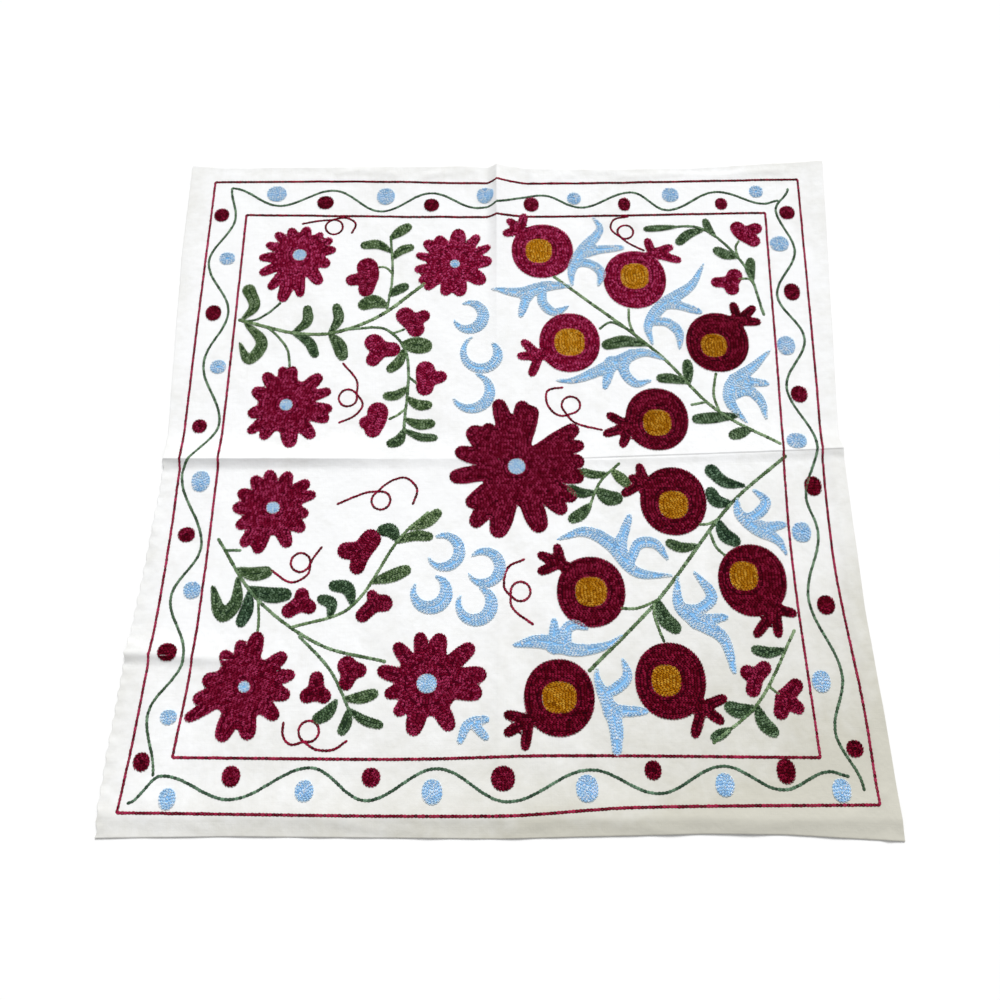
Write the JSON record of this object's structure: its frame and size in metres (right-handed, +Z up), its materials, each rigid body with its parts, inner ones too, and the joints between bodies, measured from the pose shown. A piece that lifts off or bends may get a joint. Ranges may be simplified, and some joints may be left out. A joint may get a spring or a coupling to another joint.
{
  "type": "suzani embroidered cloth",
  "caption": "Square cotton cloth laid flat, with fold creases, a turned hem, a wavy-vine border and chain-stitched flowers and pomegranates.",
  "frame": {"origin": "middle of the cloth's outline, on the surface that it lies on", "axes": "+X to the right of the pattern, +Y to its far side, +Z up off the surface"},
  "size_m": [0.906, 0.904, 0.0138],
  "materials": {
    "ground_cotton": "matt plain-woven off-white cotton with soft fold creases",
    "thread_burgundy": "twisted embroidery thread in chain stitch, soft sheen",
    "thread_blue": "twisted embroidery thread in chain stitch, soft sheen",
    "thread_green": "twisted embroidery thread in chain stitch, soft sheen",
    "thread_gold": "twisted embroidery thread in chain stitch, soft sheen"
  },
  "bodies": {
    "root": {"ground_cloth": "ground_cotton"}
  },
  "joints": []
}
